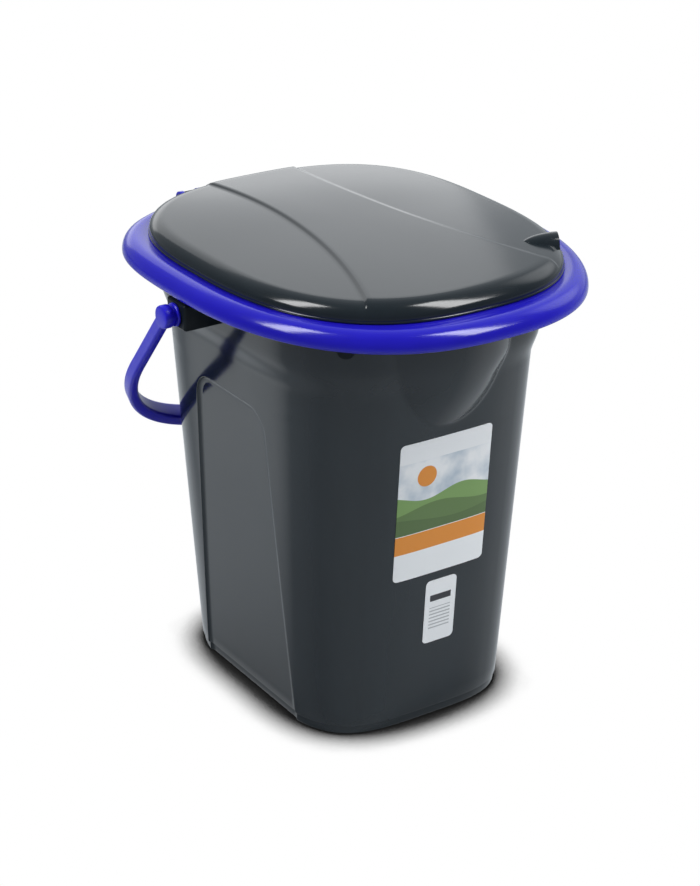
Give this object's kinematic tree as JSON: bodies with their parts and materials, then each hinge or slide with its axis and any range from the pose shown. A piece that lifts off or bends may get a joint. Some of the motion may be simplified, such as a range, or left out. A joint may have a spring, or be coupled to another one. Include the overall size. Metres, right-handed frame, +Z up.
{
  "type": "portable camp toilet",
  "caption": "Tapered bucket toilet with a pouring spout, an overhanging lift-off seat ring, a domed lid hinged at the back and a swinging bail handle on side brackets.",
  "frame": {"origin": "middle of the base on the floor, under the bucket's own centre", "axes": "+Z up, front of the bucket and of the seat towards -Y, lid hinge towards +Y, +X to the right seen from the front"},
  "size_m": [0.3418, 0.391, 0.4009],
  "materials": {
    "anthracite_plastic": "satin to glossy injection-moulded anthracite grey",
    "blue_plastic": "glossy injection-moulded ultramarine blue",
    "label_paper": null
  },
  "bodies": {
    "bucket": {"bucket": "anthracite_plastic", "front_label": "label_paper", "small_label": "label_paper", "handle_bracket_left": "anthracite_plastic", "handle_bracket_right": "anthracite_plastic"},
    "handle": {"handle": "blue_plastic"},
    "seat": {"seat_ring": "blue_plastic", "seat_tongues": "anthracite_plastic", "seat_hinge_block_left": "blue_plastic", "seat_hinge_block_right": "blue_plastic", "hinge_pin_left": "anthracite_plastic", "hinge_pin_right": "anthracite_plastic"},
    "lid": {"lid": "anthracite_plastic", "lid_hinge_arm_left": "anthracite_plastic", "lid_hinge_arm_right": "anthracite_plastic"}
  },
  "joints": [
    {"name": "seat_lift", "type": "slide", "parent": "bucket", "child": "seat", "axis": [0, 0, 1], "range_m": [0, 0.12]},
    {"name": "lid_hinge", "type": "hinge", "parent": "seat", "child": "lid", "pos_m": [0, 0.172, 0.3767], "axis": [-1, 0, 0], "range_deg": [0, 105]},
    {"name": "handle_swing", "type": "hinge", "parent": "bucket", "child": "handle", "pos_m": [0, 0, 0.35], "axis": [-1, 0, 0], "range_deg": [-273, 0]}
  ]
}
